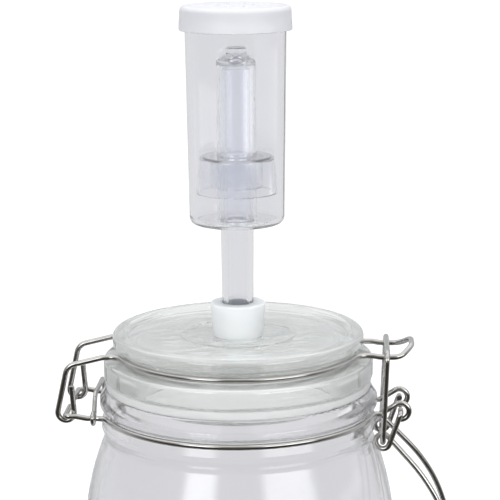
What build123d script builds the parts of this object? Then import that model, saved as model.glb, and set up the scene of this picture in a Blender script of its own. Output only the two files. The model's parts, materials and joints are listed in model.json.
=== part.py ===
"""Clip-top fermentation jar with a stopper and a three-piece airlock, one solid per real piece.

Millimetres, Z up, the jar's axis is Z and its foot stands on Z = 0. The hinge is at -X and the latch at +X.
"""

import math
import os

from build123d import *

# Shared sizes
WIRE_R = 1.0  # hinge and latch wire
TIE_WIRE_R = 0.85  # thin wire between the two hinge bars
SEAT_GAP = 0.03  # room left between faces that rest on each other
HALF = 0.5  # share
FULL_TURN = 360.0
QUARTER_TURN = 90.0
TINY = 1e-5
ARC_CORNERS = 4

# Heights, from the foot up. Each seam is set from the one below it.
NECK_WIRE_Z = 173.0  # the plane of the neck
NECK_RING_RISE = 1.0
NECK_RING_Z = NECK_WIRE_Z + NECK_RING_RISE
RIM_RISE = 9.5
RIM_Z = NECK_WIRE_Z + RIM_RISE
GASKET_THICKNESS = 3.4
FLANGE_LOW_Z = RIM_Z + GASKET_THICKNESS
FLANGE_THICKNESS = 7.4
FLANGE_TOP_Z = FLANGE_LOW_Z + FLANGE_THICKNESS
LID_WIRE_RISE = 2.5
LID_WIRE_Z = FLANGE_TOP_Z + LID_WIRE_RISE
LID_RIM_RISE = 7.0
LID_RIM_Z = LID_WIRE_Z + LID_RIM_RISE
LID_RECESS = 1.9
LID_TOP_Z = LID_RIM_Z - LID_RECESS
STOPPER_PROUD = 12.1
STOPPER_TOP_Z = LID_TOP_Z + STOPPER_PROUD
STEM_SHOWN = 29.0
CUP_LOW_Z = STOPPER_TOP_Z + STEM_SHOWN
AIRLOCK_HEIGHT = 77.2
CAP_TOP_Z = CUP_LOW_Z + AIRLOCK_HEIGHT
CAP_HEIGHT = 8.5
CAP_LOW_Z = CAP_TOP_Z - CAP_HEIGHT

# Jar mouth and neck, all set from the lid's plug
PLUG_R = 42.5
MOUTH_ROOM = 2.3
MOUTH_R = PLUG_R + MOUTH_ROOM
RIM_WALL = 3.0
RIM_R = MOUTH_R + RIM_WALL
RIM_BEND = 1.1
NECK_WALL = 3.9
NECK_R = MOUTH_R + NECK_WALL
NECK_DROP = 8.3
NECK_BEND = 4.0
LOW_BEAD_PROUD = 1.2
LOW_BEAD_R = NECK_R + LOW_BEAD_PROUD
LOW_BEAD_DROP = 3.9
LOW_BEAD_HALF = 0.9
NECK_RING_PROUD = 1.3
NECK_RING_R = NECK_R + NECK_RING_PROUD  # centre line of the neck wire
GROOVE_HALF = 1.1
GROOVE_R = NECK_RING_R - WIRE_R - SEAT_GAP
HIGH_BEAD_PROUD = 1.7
HIGH_BEAD_R = NECK_R + HIGH_BEAD_PROUD
HIGH_BEAD_LOW = 3.3
HIGH_BEAD_TOP = 5.5
BEAD_BEND = 0.7
GROOVE_BEND = 0.4

# Jar body
SHOULDER_REACH = 7.0
JAR_R = NECK_RING_R + SHOULDER_REACH
JAR_WALL = 4.0
JAR_FLOOR = 6.0
JAR_HEEL_BEND = 9.0
FOOT_RING_INSET = 13.0
FOOT_RING_R = JAR_R - FOOT_RING_INSET
PUNT_SLOPE = 2.0
PUNT_RISE = 1.6
SHOULDER_DROP = 29.8
SHOULDER_BEND = 103.0
INNER_HEEL_BEND = 8.0
INNER_SHOULDER_BEND = SHOULDER_BEND - JAR_WALL
INNER_NECK_BEND = 7.0
INNER_NECK_DROP = 8.0
INNER_SHOULDER_DROP = 31.0

# Gasket and glass lid
PLUG_DROP = 5.3
PLUG_LOW_Z = RIM_Z - PLUG_DROP
PLUG_WALL = 5.0
PLUG_SLOPE = 1.0
PLUG_BEND = 1.4
GASKET_IN_R = PLUG_R + SEAT_GAP
GASKET_WIDTH = 5.47
GASKET_OUT_R = GASKET_IN_R + GASKET_WIDTH
GASKET_BEND = 0.8
FLANGE_PROUD = 0.7
FLANGE_R = GASKET_OUT_R + FLANGE_PROUD
FLANGE_BEND = 1.3
FLANGE_RISE = 0.7
LID_RING_INSET = 4.5
LID_RING_R = FLANGE_R - LID_RING_INSET  # centre line of the lid wire
LID_GROOVE_R = LID_RING_R - WIRE_R - SEAT_GAP
LID_GROOVE_TOP = 1.8
LID_RIM_PROUD = 1.1
LID_RIM_R = LID_RING_R + LID_RIM_PROUD
LID_RIM_LOW = 2.9
LID_RIM_BEND = 1.8
LID_RIM_WIDTH = 4.5
LID_RIM_IN_R = LID_RIM_R - LID_RIM_WIDTH
LID_RIM_SLOPE = 1.6
LID_RIM_IN_BEND = 1.2
LID_THICKNESS = 6.3
LID_UNDER_BEND = 3.0
LID_RING_EMBOSS_R = 20.1
EMBOSS_HALF = 0.9
EMBOSS_SLOPE = 0.35
EMBOSS_RISE = 0.7
EMBOSS_BEND = 0.25
SMALL_BEND = 0.5

# Stem and stopper, set from the stem's bore
STEM_BORE_R = 3.6
STEM_LOW_WALL = 1.85
STEM_LOW_R = STEM_BORE_R + STEM_LOW_WALL
STEM_TAPER = 0.45
STEM_TOP_R = STEM_LOW_R + STEM_TAPER
STEM_LENGTH = 50.0
STEM_TIP_CUT = 0.8
STOPPER_WALL = 2.35
STOPPER_LOW_R = STEM_LOW_R + STOPPER_WALL
STOPPER_TAPER = 2.2
STOPPER_TOP_R = STOPPER_LOW_R + STOPPER_TAPER
STOPPER_LENGTH = 22.5
STOPPER_BEND = 0.7

# Standpipe, and the float over it
STANDPIPE_WALL = 1.25
STANDPIPE_R = STEM_BORE_R + STANDPIPE_WALL
FLOAT_WALL = 1.1
FLOAT_ROOM = 1.05
FLOAT_R = STANDPIPE_R + FLOAT_ROOM + FLOAT_WALL
CUP_WALL = 1.35
FLOAT_LOW_Z = CUP_LOW_Z + CUP_WALL + SEAT_GAP
FLOAT_HEADROOM = 10.7
FLOAT_SHOULDER_Z = CAP_LOW_Z - FLOAT_HEADROOM
STANDPIPE_ROOM = 1.6
STANDPIPE_TOP_Z = FLOAT_SHOULDER_Z - FLOAT_WALL - STANDPIPE_ROOM
FLOAT_CONE_RISE = 2.4
FLOAT_NUB_R = 3.7
FLOAT_NUB_RISE = 4.7
FLOAT_TOP_Z = FLOAT_SHOULDER_Z + FLOAT_NUB_RISE
SKIRT_RAISED = 9.62
SKIRT_LOW_Z = FLOAT_LOW_Z + SKIRT_RAISED
SKIRT_HEIGHT = 13.3
SKIRT_TOP_Z = SKIRT_LOW_Z + SKIRT_HEIGHT
SKIRT_RING_ROOM = 2.4
SKIRT_RING_R = FLOAT_R + SKIRT_RING_ROOM
SKIRT_RING_WALL = 0.9
SKIRT_RING_DEPTH = 10.0
SKIRT_REACH = 3.9
SKIRT_TOP_R = SKIRT_RING_R + SKIRT_REACH
SKIRT_FLARE = 1.2
SKIRT_LOW_R = SKIRT_TOP_R + SKIRT_FLARE
SKIRT_WALL = 0.95
SKIRT_BEND = 1.3
FLOAT_BEND = 0.8
FLOAT_SMALL_BEND = 0.35
FLOAT_NOTCH_WIDTH = 2.0
FLOAT_NOTCH_HEIGHT = 2.4
FLOAT_NOTCHES = 4

# Cup round the float, and its push-on cap
CUP_ROOM = 1.05
CUP_LOW_R = SKIRT_LOW_R + CUP_ROOM + CUP_WALL
CUP_FLARE = 1.05
CUP_TOP_R = CUP_LOW_R + CUP_FLARE
CUP_HEEL_BEND = 2.4
CUP_IN_BEND = 1.6
CUP_LIP_BEND = 0.4
CAP_SKIN = 1.2
CUP_TOP_Z = CAP_TOP_Z - CAP_SKIN - SEAT_GAP
CAP_SKIRT = 1.05
CAP_ROOM = 0.5
CAP_TOP_R = CUP_TOP_R + CAP_ROOM + CAP_SKIRT
CAP_FLARE = 0.5
CAP_RIM_R = CAP_TOP_R + CAP_FLARE
CAP_BEND = 1.7
CAP_LIP_BEND = 0.35
CAP_PLUG_ROOM = 0.25
CAP_PLUG_R = CUP_TOP_R - CUP_WALL - CAP_PLUG_ROOM
CAP_PLUG_WALL = 1.0
CAP_PLUG_DEPTH = 3.4
CAP_VENT_R = 0.8
CAP_VENT_CIRCLE_R = 6.0
CAP_VENTS = 6

# Hinge side, set from the two rings
HINGE_OUT = 11.1
HINGE_X = -NECK_RING_R - HINGE_OUT
HINGE_RISE = 0.7
HINGE_Z = NECK_RING_Z + HINGE_RISE
LID_ARM_Y = 15.0
HINGE_BAR_ROOM = 2.6
HINGE_BAR_Y = LID_ARM_Y + HINGE_BAR_ROOM
HINGE_PIN_END_Y = 5.0
HINGE_PIN_BEND = 1.5
BAR_STEP_OUT = 7.2
BAR_STEP_OUT_X = -NECK_RING_R - BAR_STEP_OUT
BAR_STEP_IN = 3.4
BAR_STEP_IN_X = -NECK_RING_R - BAR_STEP_IN
BAR_STEP_BEND = 2.0
RING_LEAVE_BEND = 5.0
LID_ARM_DIP_OUT = 3.2
LID_ARM_DIP_X = -LID_RING_R - LID_ARM_DIP_OUT
LID_ARM_DIP_BEND = 6.0
LID_ARM_LEAN = 0.8
LID_ARM_CORNER_X = HINGE_X + LID_ARM_LEAN
LID_ARM_DROP = 3.2
LID_ARM_CORNER_Z = LID_WIRE_Z - LID_ARM_DROP
LID_ARM_CORNER_BEND = 4.5
HOOK_R = 2.95
HOOK_LIFT = 0.7  # the hinge pin lies low in the hook
HOOK_TURN = 197.0
HOOK_TAIL = 9.5
TIE_OUT = 1.0
TIE_X = -NECK_RING_R - TIE_OUT
TIE_EYE_R = WIRE_R + TIE_WIRE_R + SEAT_GAP
TIE_EYE_TURN = 250.0
TIE_EYE_TAIL = 0.6
TIE_ARCH_INSET = 6.6
TIE_ARCH_Y = HINGE_BAR_Y - TIE_ARCH_INSET
TIE_ARCH_RISE = 7.2
TIE_ARCH_Z = NECK_RING_Z + TIE_ARCH_RISE
TIE_ARCH_BEND = 4.5

# Latch side, set from the two rings
EAR_Y = 10.3
EAR_DIP = 0.47
EAR_DIP_OUT = 4.4
EAR_DIP_IN_X = LID_RING_R + EAR_DIP_OUT
EAR_DIP_LENGTH = 2.7
EAR_DIP_OUT_X = EAR_DIP_IN_X + EAR_DIP_LENGTH
EAR_SEAT_LENGTH = 7.2
EAR_RISE_X = EAR_DIP_OUT_X + EAR_SEAT_LENGTH
EAR_RISE_LENGTH = 4.0
EAR_END_X = EAR_RISE_X + EAR_RISE_LENGTH
EAR_RISE = 3.1
EAR_NARROWING = 5.3
EAR_END_Y = EAR_Y - EAR_NARROWING
EAR_BEND = 6.0
EAR_RISE_BEND = 5.0
EAR_END_BEND = 6.0
PIVOT_OUT = 8.6
PIVOT_X = NECK_RING_R + PIVOT_OUT
PIVOT_RISE = 1.1
PIVOT_Z = NECK_RING_Z + PIVOT_RISE
NECK_EYE_Y = 9.3
NECK_EYE_R = 3.0
NECK_EYE_START = 7.2
NECK_EYE_START_X = PIVOT_X - NECK_EYE_START
NECK_EYE_BEND = 2.5
NECK_EYE_LEAVE_BEND = 1.5
NECK_EYE_TURN = 205.0
NECK_EYE_TAIL = 0.8
LEVER_ARM_ROOM = 2.4
LEVER_ARM_Y = NECK_EYE_Y + LEVER_ARM_ROOM
LEVER_PIN_REACH = 1.8
LEVER_PIN_END_Y = NECK_EYE_Y - LEVER_PIN_REACH
LEVER_PIN_BEND = 1.4
COIL_OUT = 2.2
COIL_X = NECK_RING_R + COIL_OUT
COIL_DROP = 9.8
COIL_Z = NECK_RING_Z - COIL_DROP
COIL_R = 2.5
COIL_STEP = 2.25
COIL_IN_Y = LEVER_ARM_Y - COIL_STEP
HANDLE_ANGLE = -47.4
HANDLE_FIRST = 17.2
HANDLE_MID_OUT = 20.2
HANDLE_MID_X = COIL_X + HANDLE_MID_OUT
HANDLE_MID_DROP = 21.4
HANDLE_MID_Z = COIL_Z - HANDLE_MID_DROP
HANDLE_END_OUT = 26.7
HANDLE_END_X = COIL_X + HANDLE_END_OUT
HANDLE_END_DROP = 40.2
HANDLE_END_Z = COIL_Z - HANDLE_END_DROP
HANDLE_FIRST_SPREAD = 0.2
HANDLE_FIRST_Y = LEVER_ARM_Y + HANDLE_FIRST_SPREAD
HANDLE_MID_SPREAD = 1.6
HANDLE_MID_Y = LEVER_ARM_Y + HANDLE_MID_SPREAD
HANDLE_END_SPREAD = 2.7
HANDLE_END_Y = LEVER_ARM_Y + HANDLE_END_SPREAD
HANDLE_FIRST_BEND = 60.0
HANDLE_MID_BEND = 50.0
HANDLE_END_BEND = 6.0
LINK_ROOM = 2.4
LINK_Y = LEVER_ARM_Y + LINK_ROOM
LINK_SEAT = 2.3
LINK_TOP_X = EAR_DIP_OUT_X + LINK_SEAT
LINK_TOP_Z = LID_WIRE_Z - EAR_DIP + WIRE_R + WIRE_R + SEAT_GAP
LINK_TOP_BEND = 3.0
LINK_LOW_OUT = 0.05
LINK_LOW_X = COIL_X + LINK_LOW_OUT
LINK_LOW_RISE = 0.15
LINK_LOW_Z = COIL_Z + LINK_LOW_RISE
LINK_LOW_BEND = 2.4


def rounded(points, bends, closed=False):
    """Straight runs through the points, with a tangent arc of the given radius at each corner."""
    points = [Vector(*p) for p in points]
    count = len(points)
    corners = range(count) if closed else range(1, count - 1)
    cuts = {}
    for i in corners:
        here, before, after = points[i], points[i - 1], points[(i + 1) % count]
        into, out = (here - before).normalized(), (after - here).normalized()
        turn = math.radians(into.get_angle(out))
        radius = bends[i]
        if radius == 0 or turn < TINY:
            cuts[i] = (here, None, here)
            continue
        back = radius * math.tan(turn * HALF)
        start, end = here - into * back, here + out * back
        inward = (out - into).normalized()
        depth = radius / math.cos(turn * HALF) - radius
        cuts[i] = (start, here + inward * depth, end)
    edges = []
    last = cuts[count - 1][2] if closed else points[0]
    for i in list(corners) + ([] if closed else [count - 1]):
        start, middle, end = cuts.get(i, (points[i], None, points[i]))
        if (start - last).length > TINY:
            edges.append(Line(last, start))
        if middle is not None:
            edges.append(ThreePointArc(start, middle, end))
        last = end
    return edges


def turned(profile):
    """Solid of revolution about Z from corners given as (radius, height, bend)."""
    points = [(r, 0, z) for r, z, _ in profile]
    edges = rounded(points, [bend for _, _, bend in profile], closed=True)
    face = make_face(edges)
    return revolve(face, axis=Axis.Z, revolution_arc=FULL_TURN)


def swept(edges, radius):
    """Round wire of the given radius along a run of tangent edges."""
    path = Wire([e.edge() if hasattr(e, "edge") else e for e in edges])
    start = Plane(origin=path @ 0, z_dir=path % 0)
    return sweep(start * Circle(radius), path=path)


def both_sides(half):
    """The half and its mirror image in the plane through the hinge and the latch."""
    return (half + mirror(half, about=Plane.XZ)).clean()


def flat(points, y):
    """Points of the plane through hinge and latch, set at one Y."""
    return [(x, y, z) for x, z in points]


def loop_corners(start, centre, radius, way, turn, tail, count=ARC_CORNERS):
    """Corners of a run that comes from start, touches a circle and follows it.

    way is +1 for anticlockwise and -1 for clockwise. The last point is the end of the straight tail.
    """
    dx, dz = centre[0] - start[0], centre[1] - start[1]
    heading = math.atan2(dz, dx) - way * math.asin(radius / math.hypot(dx, dz))
    step = way * math.radians(turn) / count
    place = heading - way * math.radians(QUARTER_TURN)
    reach = radius / math.cos(step * HALF)
    corners = []
    for k in range(count):
        a = place + step * (k + HALF)
        corners.append((centre[0] + reach * math.cos(a), centre[1] + reach * math.sin(a)))
    end, heading = place + step * count, heading + step * count
    tip = (
        centre[0] + radius * math.cos(end) + tail * math.cos(heading),
        centre[1] + radius * math.sin(end) + tail * math.sin(heading),
    )
    return corners, tip


def leave_ring(ring_r, z, side, offset, bend):
    """Arc on the front half that leads from a ring out to a bar along X at Y = -offset.

    Gives the point on the ring, the middle of the arc and the point where the bar starts.
    """
    centre_x = math.sqrt((ring_r + bend) ** 2 - (offset + bend) ** 2)
    centre_y = -(offset + bend)
    share = ring_r / (ring_r + bend)
    on_ring = Vector(side * centre_x * share, centre_y * share, z)
    on_bar = Vector(side * centre_x, -offset, z)
    centre = Vector(side * centre_x, centre_y, z)
    middle = centre + (on_ring + on_bar - centre - centre).normalized() * bend
    return on_ring, middle, on_bar


def ring_run(ring_r, z, right_offset, left_offset, right_bend, left_bend):
    """Front half ring with its two leaving arcs, from the right bar to the left bar."""
    right_ring, right_mid, right_bar = leave_ring(ring_r, z, 1, right_offset, right_bend)
    left_ring, left_mid, left_bar = leave_ring(ring_r, z, -1, left_offset, left_bend)
    edges = [
        ThreePointArc(right_bar, right_mid, right_ring),
        ThreePointArc(right_ring, Vector(0, -ring_r, z), left_ring),
        ThreePointArc(left_ring, left_mid, left_bar),
    ]
    return right_bar, edges, left_bar


def cone_r(z, low_z, low_r, high_z, high_r):
    """Radius of a cone at a height."""
    return low_r + (z - low_z) * (high_r - low_r) / (high_z - low_z)


def jar_body():
    outside = [
        (FOOT_RING_R - PUNT_SLOPE, PUNT_RISE, SMALL_BEND),
        (FOOT_RING_R, 0, SMALL_BEND),
        (JAR_R, 0, JAR_HEEL_BEND),
        (JAR_R, NECK_WIRE_Z - SHOULDER_DROP, SHOULDER_BEND),
        (NECK_R, NECK_WIRE_Z - NECK_DROP, NECK_BEND),
        (LOW_BEAD_R, NECK_WIRE_Z - LOW_BEAD_DROP - LOW_BEAD_HALF, BEAD_BEND),
        (LOW_BEAD_R, NECK_WIRE_Z - LOW_BEAD_DROP + LOW_BEAD_HALF, BEAD_BEND),
        (GROOVE_R, NECK_RING_Z - GROOVE_HALF, GROOVE_BEND),
        (GROOVE_R, NECK_RING_Z + GROOVE_HALF, GROOVE_BEND),
        (HIGH_BEAD_R, NECK_WIRE_Z + HIGH_BEAD_LOW, BEAD_BEND),
        (HIGH_BEAD_R, NECK_WIRE_Z + HIGH_BEAD_TOP, BEAD_BEND),
        (RIM_R, RIM_Z, RIM_BEND),
    ]
    inside = [
        (MOUTH_R, RIM_Z, RIM_BEND),
        (MOUTH_R, NECK_WIRE_Z - INNER_NECK_DROP, INNER_NECK_BEND),
        (JAR_R - JAR_WALL, NECK_WIRE_Z - INNER_SHOULDER_DROP, INNER_SHOULDER_BEND),
        (JAR_R - JAR_WALL, JAR_FLOOR, INNER_HEEL_BEND),
        (0, JAR_FLOOR, 0),
    ]
    return turned([(0, PUNT_RISE, 0)] + outside + inside)


def lid_gasket():
    low, high = RIM_Z + SEAT_GAP, FLANGE_LOW_Z - SEAT_GAP
    return turned(
        [
            (GASKET_IN_R, low, GASKET_BEND),
            (GASKET_OUT_R, low, GASKET_BEND),
            (GASKET_OUT_R, high, GASKET_BEND),
            (GASKET_IN_R, high, GASKET_BEND),
        ]
    )


def stopper_r(z):
    return cone_r(z, STOPPER_TOP_Z - STOPPER_LENGTH, STOPPER_LOW_R, STOPPER_TOP_Z, STOPPER_TOP_R)


def stem_r(z):
    return cone_r(z, CUP_LOW_Z - STEM_LENGTH, STEM_LOW_R, CUP_LOW_Z, STEM_TOP_R)


def glass_lid():
    under = LID_TOP_Z - LID_THICKNESS
    emboss_in, emboss_out = LID_RING_EMBOSS_R - EMBOSS_HALF, LID_RING_EMBOSS_R + EMBOSS_HALF
    emboss_z = LID_TOP_Z + EMBOSS_RISE
    return turned(
        [
            (stopper_r(under) + SEAT_GAP, under, 0),
            (PLUG_R - PLUG_WALL - PLUG_SLOPE, under, LID_UNDER_BEND),
            (PLUG_R - PLUG_WALL, PLUG_LOW_Z, PLUG_BEND),
            (PLUG_R, PLUG_LOW_Z, PLUG_BEND),
            (PLUG_R, FLANGE_LOW_Z, 0),
            (FLANGE_R, FLANGE_LOW_Z, FLANGE_BEND),
            (FLANGE_R, FLANGE_TOP_Z, FLANGE_BEND),
            (LID_GROOVE_R, FLANGE_TOP_Z + FLANGE_RISE, SMALL_BEND),
            (LID_GROOVE_R, LID_WIRE_Z + LID_GROOVE_TOP, SMALL_BEND),
            (LID_RIM_R, LID_WIRE_Z + LID_RIM_LOW, SMALL_BEND),
            (LID_RIM_R, LID_RIM_Z, LID_RIM_BEND),
            (LID_RIM_IN_R, LID_RIM_Z, LID_RIM_IN_BEND),
            (LID_RIM_IN_R - LID_RIM_SLOPE, LID_TOP_Z, LID_RIM_IN_BEND),
            (emboss_out, LID_TOP_Z, EMBOSS_BEND),
            (emboss_out - EMBOSS_SLOPE, emboss_z, EMBOSS_BEND),
            (emboss_in + EMBOSS_SLOPE, emboss_z, EMBOSS_BEND),
            (emboss_in, LID_TOP_Z, EMBOSS_BEND),
            (stopper_r(LID_TOP_Z) + SEAT_GAP, LID_TOP_Z, 0),
        ]
    )


def stopper():
    low = STOPPER_TOP_Z - STOPPER_LENGTH
    return turned(
        [
            (stem_r(low) + SEAT_GAP, low, 0),
            (STOPPER_LOW_R, low, STOPPER_BEND),
            (STOPPER_TOP_R, STOPPER_TOP_Z, STOPPER_BEND),
            (stem_r(STOPPER_TOP_Z) + SEAT_GAP, STOPPER_TOP_Z, 0),
        ]
    )


def airlock_body():
    floor_z = CUP_LOW_Z + CUP_WALL
    tip_z = CUP_LOW_Z - STEM_LENGTH
    return turned(
        [
            (STEM_BORE_R, tip_z, 0),
            (stem_r(tip_z + STEM_TIP_CUT) - STEM_TIP_CUT, tip_z, 0),
            (stem_r(tip_z + STEM_TIP_CUT), tip_z + STEM_TIP_CUT, 0),
            (STEM_TOP_R, CUP_LOW_Z, SMALL_BEND),
            (CUP_LOW_R, CUP_LOW_Z, CUP_HEEL_BEND),
            (CUP_TOP_R, CUP_TOP_Z, CUP_LIP_BEND),
            (CUP_TOP_R - CUP_WALL, CUP_TOP_Z, CUP_LIP_BEND),
            (CUP_LOW_R - CUP_WALL, floor_z, CUP_IN_BEND),
            (STANDPIPE_R, floor_z, SMALL_BEND),
            (STANDPIPE_R, STANDPIPE_TOP_Z, CUP_LIP_BEND),
            (STEM_BORE_R, STANDPIPE_TOP_Z, CUP_LIP_BEND),
        ]
    )


def airlock_float():
    inner_r = FLOAT_R - FLOAT_WALL
    cone_z = FLOAT_SHOULDER_Z + FLOAT_CONE_RISE
    under = SKIRT_TOP_Z - FLOAT_WALL
    body = turned(
        [
            (0, FLOAT_TOP_Z, 0),
            (FLOAT_NUB_R, FLOAT_TOP_Z, FLOAT_BEND),
            (FLOAT_NUB_R, cone_z, FLOAT_SMALL_BEND),
            (FLOAT_R, FLOAT_SHOULDER_Z, FLOAT_BEND),
            (FLOAT_R, SKIRT_TOP_Z, SMALL_BEND),
            (SKIRT_TOP_R, SKIRT_TOP_Z, SKIRT_BEND),
            (SKIRT_LOW_R, SKIRT_LOW_Z, FLOAT_SMALL_BEND),
            (SKIRT_LOW_R - SKIRT_WALL, SKIRT_LOW_Z, FLOAT_SMALL_BEND),
            (SKIRT_TOP_R - SKIRT_WALL, under, FLOAT_SMALL_BEND),
            (SKIRT_RING_R, under, FLOAT_SMALL_BEND),
            (SKIRT_RING_R, under - SKIRT_RING_DEPTH, FLOAT_SMALL_BEND),
            (SKIRT_RING_R - SKIRT_RING_WALL, under - SKIRT_RING_DEPTH, FLOAT_SMALL_BEND),
            (SKIRT_RING_R - SKIRT_RING_WALL, under, FLOAT_SMALL_BEND),
            (FLOAT_R, under, FLOAT_SMALL_BEND),
            (FLOAT_R, FLOAT_LOW_Z, FLOAT_SMALL_BEND),
            (inner_r, FLOAT_LOW_Z, FLOAT_SMALL_BEND),
            (inner_r, FLOAT_SHOULDER_Z - FLOAT_WALL, FLOAT_BEND),
            (0, FLOAT_SHOULDER_Z, 0),
        ]
    )
    notch = Box(FLOAT_R + FLOAT_R, FLOAT_NOTCH_WIDTH, FLOAT_NOTCH_HEIGHT)
    for turn in range(FLOAT_NOTCHES):
        spot = Rot(0, 0, FULL_TURN * turn / FLOAT_NOTCHES) * Pos(FLOAT_R, 0, FLOAT_LOW_Z)
        body -= spot * notch
    return body


def airlock_cap():
    under = CAP_TOP_Z - CAP_SKIN
    skirt_r = CAP_RIM_R - CAP_SKIRT
    plug_in = CAP_PLUG_R - CAP_PLUG_WALL
    body = turned(
        [
            (0, CAP_TOP_Z, 0),
            (CAP_TOP_R, CAP_TOP_Z, CAP_BEND),
            (CAP_RIM_R, CAP_LOW_Z, CAP_LIP_BEND),
            (skirt_r, CAP_LOW_Z, CAP_LIP_BEND),
            (CAP_TOP_R - CAP_SKIRT, under, CAP_LIP_BEND),
            (CAP_PLUG_R, under, CAP_LIP_BEND),
            (CAP_PLUG_R, under - CAP_PLUG_DEPTH, CAP_LIP_BEND),
            (plug_in, under - CAP_PLUG_DEPTH, CAP_LIP_BEND),
            (plug_in, under, CAP_LIP_BEND),
            (0, under, 0),
        ]
    )
    for turn in range(CAP_VENTS):
        angle = FULL_TURN * turn / CAP_VENTS
        body -= Rot(0, 0, angle) * Pos(CAP_VENT_CIRCLE_R, 0, CAP_TOP_Z) * Cylinder(CAP_VENT_R, CAP_SKIRT * ARC_CORNERS)
    return body


def lid_wire():
    leave = RING_LEAVE_BEND
    right_bar, ring, left_bar = ring_run(LID_RING_R, LID_WIRE_Z, EAR_Y, LID_ARM_Y, leave, leave)
    low = LID_WIRE_Z - EAR_DIP
    ear = rounded(
        [
            (EAR_END_X, 0, low + EAR_RISE),
            (EAR_END_X, -EAR_END_Y, low + EAR_RISE),
            (EAR_RISE_X, -EAR_Y, low),
            (EAR_DIP_OUT_X, -EAR_Y, low),
            (EAR_DIP_IN_X, -EAR_Y, LID_WIRE_Z),
            tuple(right_bar),
        ],
        [0, EAR_END_BEND, EAR_RISE_BEND, EAR_BEND, EAR_BEND, 0],
    )
    corner = (LID_ARM_CORNER_X, LID_ARM_CORNER_Z)
    loop, tip = loop_corners(corner, (HINGE_X, HINGE_Z + HOOK_LIFT), HOOK_R, 1, HOOK_TURN, HOOK_TAIL)
    run = [(LID_ARM_DIP_X, LID_WIRE_Z), corner] + loop + [tip]
    bends = [0, LID_ARM_DIP_BEND, LID_ARM_CORNER_BEND] + [HOOK_R] * len(loop) + [0]
    arm = rounded([tuple(left_bar)] + flat(run, -LID_ARM_Y), bends)
    return both_sides(swept(ear + ring + arm, WIRE_R))


def neck_wire_front():
    bends = (NECK_EYE_LEAVE_BEND, RING_LEAVE_BEND)
    right_bar, ring, left_bar = ring_run(NECK_RING_R, NECK_RING_Z, NECK_EYE_Y, HINGE_BAR_Y, *bends)
    start = (NECK_EYE_START_X, NECK_RING_Z)
    pivot = (PIVOT_X, PIVOT_Z)
    loop, tip = loop_corners(start, pivot, NECK_EYE_R, -1, NECK_EYE_TURN, NECK_EYE_TAIL)
    run = flat([tip] + loop[::-1] + [start], -NECK_EYE_Y) + [tuple(right_bar)]
    eye = rounded(run, [0] + [NECK_EYE_R] * len(loop) + [NECK_EYE_BEND, 0])
    bar = rounded(
        [
            tuple(left_bar),
            (BAR_STEP_IN_X, -HINGE_BAR_Y, NECK_RING_Z),
            (BAR_STEP_OUT_X, -HINGE_BAR_Y, HINGE_Z),
            (HINGE_X, -HINGE_BAR_Y, HINGE_Z),
            (HINGE_X, -HINGE_PIN_END_Y, HINGE_Z),
        ],
        [0, BAR_STEP_BEND, BAR_STEP_BEND, HINGE_PIN_BEND, 0],
    )
    return swept(eye + ring + bar, WIRE_R)


def neck_wire_rear():
    return mirror(neck_wire_front(), about=Plane.XZ)


def hinge_tie_wire():
    top = (-TIE_ARCH_Y, TIE_ARCH_Z)
    bar = (-HINGE_BAR_Y, NECK_RING_Z)
    loop, tip = loop_corners(top, bar, TIE_EYE_R, -1, TIE_EYE_TURN, TIE_EYE_TAIL)
    run = [(0, TIE_ARCH_Z), top] + loop + [tip]
    points = [(TIE_X, y, z) for y, z in run]
    edges = rounded(points, [0, TIE_ARCH_BEND] + [TIE_EYE_R] * len(loop) + [0])
    return both_sides(swept(edges, TIE_WIRE_R))


def latch_lever():
    pivot = (PIVOT_X, PIVOT_Z)
    coil = (COIL_X, COIL_Z)
    dx, dz = COIL_X - PIVOT_X, COIL_Z - PIVOT_Z
    arm_heading = math.degrees(math.atan2(dz, dx) + math.asin(COIL_R / math.hypot(dx, dz)))
    turn = arm_heading - HANDLE_ANGLE + FULL_TURN
    loop, first = loop_corners(pivot, coil, COIL_R, -1, turn, HANDLE_FIRST)
    steps = len(loop) - 1
    coil_run = [
        (x, -LEVER_ARM_Y + (LEVER_ARM_Y - COIL_IN_Y) * k / steps, z) for k, (x, z) in enumerate(loop)
    ]
    points = [(PIVOT_X, -LEVER_PIN_END_Y, PIVOT_Z), (PIVOT_X, -LEVER_ARM_Y, PIVOT_Z)] + coil_run
    points += [
        (first[0], -HANDLE_FIRST_Y, first[1]),
        (HANDLE_MID_X, -HANDLE_MID_Y, HANDLE_MID_Z),
        (HANDLE_END_X, -HANDLE_END_Y, HANDLE_END_Z),
        (HANDLE_END_X, 0, HANDLE_END_Z),
    ]
    bends = [0, LEVER_PIN_BEND] + [COIL_R] * len(loop) + [HANDLE_FIRST_BEND, HANDLE_MID_BEND, HANDLE_END_BEND, 0]
    return both_sides(swept(rounded(points, bends), WIRE_R))


def latch_link():
    points = [
        (LINK_TOP_X, 0, LINK_TOP_Z),
        (LINK_TOP_X, -LINK_Y, LINK_TOP_Z),
        (LINK_LOW_X, -LINK_Y, LINK_LOW_Z),
        (LINK_LOW_X, 0, LINK_LOW_Z),
    ]
    return both_sides(swept(rounded(points, [0, LINK_TOP_BEND, LINK_LOW_BEND, 0]), WIRE_R))


PIECES = [
    jar_body,
    lid_gasket,
    glass_lid,
    stopper,
    airlock_body,
    airlock_float,
    airlock_cap,
    lid_wire,
    neck_wire_front,
    neck_wire_rear,
    hinge_tie_wire,
    latch_lever,
    latch_link,
]

os.makedirs("parts", exist_ok=True)
for piece in PIECES:
    export_step(piece(), os.path.join("parts", piece.__name__ + ".step"))
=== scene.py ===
"""Looks for the fermentation jar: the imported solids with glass, plastic, silicone and wire materials.

Metres, in the part's own frame: Z up from the jar's foot, latch at +X, hinge at -X. Azimuths are in degrees round
the jar's axis, 0 on the camera's side and positive to the right.
"""

import json
import math

import bmesh
import bpy
from mathutils import Matrix, Vector

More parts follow.
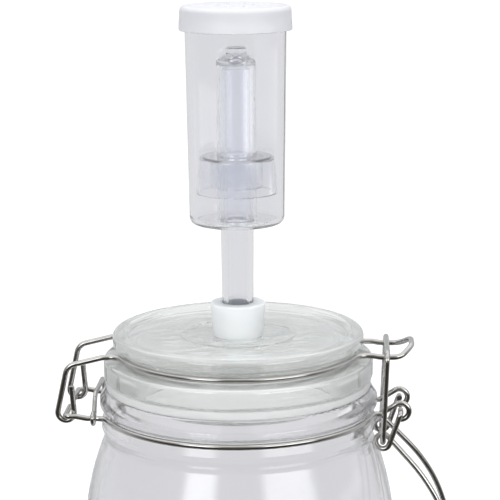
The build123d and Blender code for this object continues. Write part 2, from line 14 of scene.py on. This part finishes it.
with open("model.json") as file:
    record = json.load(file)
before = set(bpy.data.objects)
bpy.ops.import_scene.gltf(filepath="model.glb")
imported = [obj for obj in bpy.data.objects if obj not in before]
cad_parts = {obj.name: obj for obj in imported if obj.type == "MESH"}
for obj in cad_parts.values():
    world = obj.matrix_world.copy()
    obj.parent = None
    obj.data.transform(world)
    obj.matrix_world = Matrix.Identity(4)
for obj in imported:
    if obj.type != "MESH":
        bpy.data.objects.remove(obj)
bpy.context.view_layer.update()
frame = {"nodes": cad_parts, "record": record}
nodes = frame["nodes"]

# Camera, from a fit to the rings and wires in the photograph
IMAGE_SIDE = 500
FOCAL_PIXELS = 1890.7
CAMERA_DISTANCE = 0.663
CAMERA_HEIGHT = 0.3705
CAMERA_AZIMUTH = 3.37
CAMERA_PITCH = 11.81
CAMERA_YAW = 0.39
CAMERA_ROLL = -0.41
SENSOR = 36.0
NEAREST, FARTHEST = 0.01, 100.0

# Noise scales, in waves per metre
GLASS_WAVES, GLASS_FLOW, GLASS_HAZE, GLASS_WHORLS = 38.0, 60.0, 420.0, 55.0
SILICONE_CLOUDS, SILICONE_SHEEN, SILICONE_GRAIN = 90.0, 700.0, 1600.0
WIRE_DULLNESS, WIRE_LINES, WIRE_SCUFFS = 160.0, 900.0, 2600.0
PAINT_CLOUDS, CLOTH_CLOUDS = 3.0, 1.2

# The part of a noise's range that its clouds are read from
NOISE_LOW, NOISE_HIGH = 0.3, 0.7

# How far a noise is stretched: less than 1 draws it out along that axis
UPRIGHT_STREAKS = (1.0, 1.0, 0.18)
FLAT_STREAKS = (0.25, 0.25, 1.0)
LID_STREAKS = (1.0, 1.6, 1.0)

# The whorls in the lid's glass fade out between these radii
WHORL_INNER, WHORL_OUTER = 0.022, 0.036

PLASTIC_IOR = 1.49
GLASS_IOR = 1.5
SILICONE_IOR = 1.41
COAT_ROUGHNESS = 0.03
SILICONE_SCATTER = (0.9, 0.95, 1.0)

# The room: what the camera sees is white, and what shows through glass is the grey of the studio
FLOOR_HALF = 14.0
DOME_RADIUS = FLOOR_HALF * 1.3
DOME_SUBDIVISIONS = 4
GREY_FLOOR_DROP = 0.001
WHITE = (1.0, 1.0, 1.0)
THROUGH_TONE = (0.985, 0.985, 1.0)
SHEET_ROUGHNESS = 0.6
PAINT_CHANGE = 1.04

SOFTBOX_TONE = (0.985, 0.99, 1.0)
SOFTBOX_EDGE = 5.0
SOFTBOX_FADE = 0.1
SOFTBOX_STEPS = 24
CLOTH_LOW, CLOTH_HIGH = 0.94, 1.06

# The studio's light by direction. Low in front it is dark, which draws the dark halves of the wires
LOW_FRONT = (0.05, 0.045, 0.037)
FRONT = (0.34, 0.335, 0.32)
BACK = (0.62, 0.63, 0.65)
OVERHEAD = (1.2, 1.2, 1.22)
GAP_LEFT, GAP_RIGHT, GAP_EDGE = -14.0, 16.0, 4.0
GAP_TOP, GAP_FADE = 0.8, 0.12

LAMP_AIM = (0.0, 0.0, 0.2)
LIGHT_BOUNCES = 64

# Kinds of ray that a staged sheet can be seen by, and Blender's names for them
RAYS = {
    "camera": "visible_camera",
    "through glass": "visible_transmission",
    "diffuse": "visible_diffuse",
    "mirror": "visible_glossy",
}


def make_camera():
    """Turned by pitch, yaw and roll at its place in front of the jar, then swung about the jar's axis."""
    pitch, yaw, roll = (math.radians(v) for v in (CAMERA_PITCH, CAMERA_YAW, CAMERA_ROLL))
    forward = Vector((math.sin(yaw) * math.cos(pitch), math.cos(yaw) * math.cos(pitch), -math.sin(pitch)))
    level = forward.cross(Vector((0, 0, 1))).normalized()
    upright = level.cross(forward)
    right = level * math.cos(roll) + upright * math.sin(roll)
    up = upright * math.cos(roll) - level * math.sin(roll)
    turn = Matrix.Rotation(math.radians(CAMERA_AZIMUTH), 3, "Z")
    axes = turn @ Matrix((right, up, -forward)).transposed()
    place = turn @ Vector((0, -CAMERA_DISTANCE, CAMERA_HEIGHT))
    data = bpy.data.cameras.new("photo_camera")
    data.lens = FOCAL_PIXELS / IMAGE_SIDE * SENSOR
    data.sensor_width = SENSOR
    data.clip_start, data.clip_end = NEAREST, FARTHEST
    camera = bpy.data.objects.new("photo_camera", data)
    bpy.context.scene.collection.objects.link(camera)
    camera.matrix_world = Matrix.Translation(place) @ axes.to_4x4()
    bpy.context.scene.camera = camera


class Wiring:
    """Short names for building a node tree. Values are numbers, or outputs of other nodes."""

    def __init__(self, tree):
        self.tree = tree

    def add(self, kind, **values):
        node = self.tree.nodes.new(kind)
        for key, value in values.items():
            setattr(node, key, value)
        return node

    def link(self, output, socket):
        self.tree.links.new(output, socket)

    def split(self, vector):
        node = self.add("ShaderNodeSeparateXYZ")
        self.link(vector, node.inputs["Vector"])
        return (node.outputs[axis] for axis in "XYZ")

    def math(self, operation, *values):
        node = self.add("ShaderNodeMath", operation=operation)
        for socket, value in zip(node.inputs, values):
            if isinstance(value, float):
                socket.default_value = value
            else:
                self.link(value, socket)
        return node.outputs["Value"]

    def azimuth(self, x, y):
        """Angle round the jar's axis, in radians: 0 on the camera's side and positive to the right."""
        return self.math("ARCTAN2", x, self.math("MULTIPLY", y, -1.0))

    def step(self, value, low, high):
        """Soft step from 0 at low to 1 at high, which may be the smaller one."""
        node = self.add("ShaderNodeMapRange", interpolation_type="SMOOTHSTEP")
        node.inputs["From Min"].default_value = low
        node.inputs["From Max"].default_value = high
        self.link(value, node.inputs["Value"])
        return node.outputs["Result"]

    def between(self, value, low, high, soft):
        """1 between low and high and 0 outside, with a soft step at either end."""
        return self.math("MULTIPLY", self.step(value, low - soft, low + soft),
                         self.step(value, high + soft, high - soft))

    def blend(self, share, first, second):
        """Colour that goes from first to second. Each is a colour or an output."""
        node = self.add("ShaderNodeMix", data_type="RGBA")
        self.link(share, node.inputs["Factor"])
        for socket, value in (("A", first), ("B", second)):
            if isinstance(value, tuple):
                node.inputs[socket].default_value = (*value, 1)
            else:
                self.link(value, node.inputs[socket])
        return node.outputs["Result"]


class Surface(Wiring):
    """A new material, built round its Principled BSDF."""

    def __init__(self, name):
        self.material = bpy.data.materials.new(name)
        self.material.use_nodes = True
        super().__init__(self.material.node_tree)
        self.shader = self.tree.nodes["Principled BSDF"]
        self.place = self.add("ShaderNodeTexCoord").outputs["Object"]
        self.normal = None

    def set(self, **values):
        """Values of the shader's own sockets, by their names."""
        for key, value in values.items():
            self.shader.inputs[key.replace("_", " ")].default_value = value

    def stretched(self, scale):
        node = self.add("ShaderNodeMapping")
        node.inputs["Scale"].default_value = scale
        self.link(self.place, node.inputs["Vector"])
        return node.outputs["Vector"]

    def noise(self, scale, detail=3.0, roughness=0.5, vector=None, distortion=0.0):
        node = self.add("ShaderNodeTexNoise")
        node.inputs["Distortion"].default_value = distortion
        node.inputs["Scale"].default_value = scale
        node.inputs["Detail"].default_value = detail
        node.inputs["Roughness"].default_value = roughness
        self.link(vector or self.place, node.inputs["Vector"])
        return node.outputs["Fac"]

    def spread(self, noise, low, high):
        """The noise's middle range, stretched to go from low to high."""
        node = self.add("ShaderNodeMapRange")
        for key, number in (("From Min", NOISE_LOW), ("From Max", NOISE_HIGH), ("To Min", low), ("To Max", high)):
            node.inputs[key].default_value = number
        self.link(noise, node.inputs["Value"])
        return node.outputs["Result"]

    def tint(self, noise, tones):
        self.link(self.blend(self.spread(noise, 0.0, 1.0), *tones), self.shader.inputs["Base Color"])

    def roughen(self, noise, least, gain):
        """Roughness from least to gain times as much."""
        self.link(self.spread(noise, least, least * gain), self.shader.inputs["Roughness"])

    def bump(self, height, strength, distance):
        """Relief on top of the bumps that are there already."""
        node = self.add("ShaderNodeBump")
        node.inputs["Strength"].default_value = strength
        node.inputs["Distance"].default_value = distance
        self.link(height, node.inputs["Height"])
        if self.normal:
            self.link(self.normal, node.inputs["Normal"])
        self.normal = node.outputs["Normal"]
        self.link(self.normal, self.shader.inputs["Normal"])


def glass(name, tones, ior, wave, rough, sheer=1.0, coat=0.0, coat_ior=1.5, flow_share=0.6, swirled=False):
    """Clear glass or plastic: slow waves and fine flow lines in the surface, and a faint tint.

    A coat keeps the highlights crisp where the inside is rough. The flow lines' height is a share of the waves'.
    Swirled glass also has the whorls that pressing leaves round its middle.
    """
    n = Surface(name)
    n.set(IOR=ior, Transmission_Weight=sheer)
    n.set(Coat_Weight=coat, Coat_Roughness=COAT_ROUGHNESS, Coat_IOR=coat_ior)
    waves = n.noise(GLASS_WAVES, detail=2.0)
    flow = n.noise(GLASS_FLOW, roughness=0.55, vector=n.stretched(UPRIGHT_STREAKS))
    n.tint(waves, tones)
    n.roughen(n.noise(GLASS_HAZE, detail=4.0), rough, gain=2.2)
    n.bump(waves, strength=0.35, distance=wave)
    n.bump(flow, strength=0.25, distance=wave * flow_share)
    if swirled:
        x, y, _ = n.split(n.place)
        radius = n.math("SQRT", n.math("ADD", n.math("POWER", x, 2.0), n.math("POWER", y, 2.0)))
        middle = n.step(radius, WHORL_OUTER, WHORL_INNER)
        whorls = n.noise(GLASS_WHORLS, detail=2.0, vector=n.stretched(LID_STREAKS), distortion=1.6)
        n.bump(n.math("MULTIPLY", whorls, middle), strength=0.5, distance=0.0035)
    return n.material


def silicone(name, tones, rough, milk, sheer, depth):
    """Milky rubber: soft cloudiness, a fine moulded grain and light scattered inside it."""
    n = Surface(name)
    n.set(IOR=SILICONE_IOR, Transmission_Weight=sheer)
    n.set(Subsurface_Weight=milk, Subsurface_Scale=depth, Subsurface_Radius=SILICONE_SCATTER)
    clouds = n.noise(SILICONE_CLOUDS)
    n.tint(clouds, tones)
    n.roughen(n.noise(SILICONE_SHEEN, detail=4.0), rough, gain=1.5)
    n.bump(n.noise(SILICONE_GRAIN, detail=4.0, roughness=0.6), strength=0.25, distance=0.00008)
    n.bump(clouds, strength=0.2, distance=0.0002)
    return n.material


def wire(name, tones, rough):
    """Bright drawn wire: long fine die lines, slight dulling and a few scuffs."""
    n = Surface(name)
    n.set(Metallic=1.0)
    lines = n.noise(WIRE_LINES, detail=5.0, roughness=0.6, vector=n.stretched(FLAT_STREAKS))
    n.tint(n.noise(WIRE_DULLNESS, detail=4.0), tones)
    n.roughen(lines, rough, gain=2.4)
    n.bump(lines, strength=0.12, distance=0.00004)
    n.bump(n.noise(WIRE_SCUFFS, roughness=0.7), strength=0.08, distance=0.00002)
    return n.material


# Each material slot's kind and look. The tones are the two ends of the slot's faint clouds
LOOKS = {
    "jar_glass": (glass, {
        "tones": ((0.951, 0.952, 0.965), (0.959, 0.959, 0.971)),
        "ior": GLASS_IOR, "wave": 0.0006, "rough": 0.06, "coat": 0.5,
    }),
    "lid_glass": (glass, {
        "tones": ((0.96, 0.988, 0.96), (0.983, 0.997, 0.98)),
        "ior": GLASS_IOR, "wave": 0.0016, "rough": 0.02, "sheer": 0.74, "coat": 0.7,
        "flow_share": 0.1, "swirled": True,
    }),
    "gasket_silicone": (silicone, {
        "tones": ((0.92, 0.94, 0.94), (0.97, 0.98, 0.98)),
        "rough": 0.3, "milk": 0.2, "sheer": 0.35, "depth": 0.004,
    }),
    "stopper_silicone": (silicone, {
        "tones": ((0.88, 0.95, 1.0), (0.92, 0.97, 1.0)),
        "rough": 0.34, "milk": 0.7, "sheer": 0.1, "depth": 0.003,
    }),
    "airlock_plastic": (glass, {
        "tones": ((0.975, 0.978, 1.0), (0.985, 0.987, 1.0)),
        "ior": PLASTIC_IOR, "wave": 0.0002, "rough": 0.02,
    }),
    "float_plastic": (glass, {
        "tones": ((0.95, 0.957, 0.972), (0.96, 0.966, 0.979)),
        "ior": PLASTIC_IOR, "wave": 0.0002, "rough": 0.02, "coat": 1.0, "coat_ior": 1.8,
    }),
    "cap_plastic": (glass, {
        "tones": ((0.925, 0.932, 0.965), (0.95, 0.955, 0.98)),
        "ior": 1.45, "wave": 0.0001, "rough": 0.3, "sheer": 0.5, "coat": 0.12,
    }),
    "steel_wire": (wire, {
        "tones": ((0.53, 0.52, 0.50), (0.62, 0.61, 0.59)),
        "rough": 0.09,
    }),
}


def dress():
    """Each solid gets its slot's material."""
    materials = {name: make(name, **look) for name, (make, look) in LOOKS.items()}
    slots = {s["node"]: s["material_slot"] for s in frame["record"]["subparts"]}
    for name, piece in nodes.items():
        piece.data.materials.clear()
        piece.data.materials.append(materials[slots[name]])


def glowing(name, tone, albedo, strength):
    """Pale matt sheet with a glow of its own and faint clouds in its tone."""
    n = Surface(name)
    n.tint(n.noise(PAINT_CLOUDS, detail=2.0), ((albedo,) * 3, (albedo * PAINT_CHANGE,) * 3))
    n.set(Roughness=SHEET_ROUGHNESS, Emission_Strength=strength, Emission_Color=(*tone, 1))
    return n.material


def staged(name, mesh, material, seen):
    """Part of the studio, seen only by the kinds of ray that are named."""
    data = bpy.data.meshes.new(name)
    mesh.to_mesh(data)
    mesh.free()
    data.materials.append(material)
    sheet = bpy.data.objects.new(name, data)
    bpy.context.scene.collection.objects.link(sheet)
    for kind, attribute in RAYS.items():
        setattr(sheet, attribute, kind in seen)
    sheet.visible_volume_scatter = sheet.visible_shadow = False


def square(height):
    """Level sheet as large as the floor."""
    mesh = bmesh.new()
    corners = ((-1, -1), (1, -1), (1, 1), (-1, 1))
    mesh.faces.new([mesh.verts.new((x * FLOOR_HALF, y * FLOOR_HALF, height)) for x, y in corners])
    return mesh


def dome():
    """Closed backdrop round everything."""
    mesh = bmesh.new()
    bmesh.ops.create_icosphere(mesh, subdivisions=DOME_SUBDIVISIONS, radius=DOME_RADIUS)
    return mesh


def studio_room():
    """The photograph is cut out on white, and the glass in it still shows the grey studio behind.

    So the white floor is what the camera sees, and a grey one just below it is what shows through glass.
    """
    staged("floor", square(0), glowing("white_floor", WHITE, albedo=0.32, strength=0.68), ["camera"])
    staged("grey_floor", square(-GREY_FLOOR_DROP), glowing("grey_floor", THROUGH_TONE, albedo=0.1, strength=0.56),
           ["through glass", "diffuse"])
    staged("backdrop", dome(), glowing("white_backdrop", WHITE, albedo=0.0, strength=0.95), ["camera"])
    staged("grey_backdrop", dome(), glowing("grey_backdrop", THROUGH_TONE, albedo=0.0, strength=0.6),
           ["through glass"])


def curved(away, first, last, low, high):
    """Upright sheet round the jar's axis, between two azimuths in radians and two heights."""
    mesh = bmesh.new()
    rows = []
    for k in range(SOFTBOX_STEPS + 1):
        turn = first + (last - first) * k / SOFTBOX_STEPS
        x, y = away * math.sin(turn), -away * math.cos(turn)
        rows.append([mesh.verts.new((x, y, z)) for z in (low, high)])
    for before, after in zip(rows, rows[1:]):
        mesh.faces.new((before[0], after[0], after[1], before[1]))
    return mesh


def softbox(name, away, azimuths, heights, strength, seen):
    """Curved sheet of light round the jar, between two azimuths and two heights, fading at its edges."""
    first, last, edge = (math.radians(v) for v in (*azimuths, SOFTBOX_EDGE))
    low, high = heights
    soft = (high - low) * SOFTBOX_FADE
    n = Surface(name)
    n.set(Base_Color=(0, 0, 0, 1), Emission_Color=(*SOFTBOX_TONE, 1))
    x, y, z = n.split(n.place)
    across = n.between(n.azimuth(x, y), first, last, edge)
    upward = n.between(z, low, high, soft)
    cloth = n.spread(n.noise(CLOTH_CLOUDS, detail=2.0), CLOTH_LOW, CLOTH_HIGH)
    n.link(n.math("MULTIPLY", cloth, strength), n.shader.inputs["Emission Strength"])
    n.link(n.math("MULTIPLY", across, upward), n.shader.inputs["Alpha"])
    sheet = curved(away, first - edge, last + edge, low - soft, high + soft)
    staged(name, sheet, n.material, seen)


def softboxes():
    """Two softboxes make the bright columns on the jar, and two low cards the bands on the float."""
    everything = ["through glass", "diffuse", "mirror"]
    tall, low = (0.4, 1.2), (0.11, 0.19)
    softbox("left_softbox", away=2.0, azimuths=(-41.0, -16.0), heights=tall, strength=3.15, seen=everything)
    softbox("right_softbox", away=2.0, azimuths=(23.0, 65.0), heights=tall, strength=2.7, seen=everything)
    softbox("left_card", away=1.0, azimuths=(-84.0, -30.0), heights=low, strength=0.75, seen=["through glass"])
    softbox("right_card", away=1.0, azimuths=(46.0, 118.0), heights=low, strength=1.6, seen=["through glass"])


def studio_light():
    """The light of the studio by direction, with a gap in its bright ceiling above the camera.

    Heights and depths are those of a direction of length 1: z is 1 straight up, and y is 1 straight behind the jar.
    """
    world = bpy.data.worlds.new("studio")
    bpy.context.scene.world = world
    world.use_nodes = True
    n = Wiring(world.node_tree)
    x, y, z = n.split(n.add("ShaderNodeTexCoord").outputs["Generated"])
    front = n.blend(n.step(z, low=-0.2, high=0.2), LOW_FRONT, FRONT)
    room = n.blend(n.step(y, low=-0.35, high=0.5), front, BACK)
    sides = n.between(n.azimuth(x, y), *(math.radians(v) for v in (GAP_LEFT, GAP_RIGHT, GAP_EDGE)))
    gap = n.math("MULTIPLY", sides, n.step(z, GAP_TOP + GAP_FADE, GAP_TOP - GAP_FADE))
    ceiling = n.math("MULTIPLY", n.step(z, low=0.3, high=0.8), n.math("SUBTRACT", 1.0, gap))
    n.link(n.blend(ceiling, room, OVERHEAD), n.tree.nodes["Background"].inputs["Color"])


def lamp(name, size, energy, place, aim=None):
    """Round area lamp that nothing sees. It shines straight down, or at a point."""
    data = bpy.data.lights.new(name, "AREA")
    data.shape, data.size, data.energy = "DISK", size, energy
    light = bpy.data.objects.new(name, data)
    bpy.context.scene.collection.objects.link(light)
    light.location = place
    if aim:
        light.rotation_euler = (Vector(place) - Vector(aim)).to_track_quat("Z", "Y").to_euler()
    light.visible_camera = light.visible_glossy = light.visible_transmission = False


def light_bounces():
    """Fewer bounces of the light would leave the edges of the clear plastics dark."""
    cycles = bpy.context.scene.cycles
    cycles.max_bounces = cycles.transmission_bounces = cycles.glossy_bounces = LIGHT_BOUNCES


make_camera()
dress()
studio_room()
studio_light()
softboxes()
lamp("top_softbox", size=1.2, energy=21.0, place=(0.1, 0.1, 1.9))
lamp("front_fill", size=1.6, energy=22.0, place=(-0.5, -2.4, 0.9), aim=LAMP_AIM)
bpy.context.scene.view_settings.view_transform = "Standard"
light_bounces()
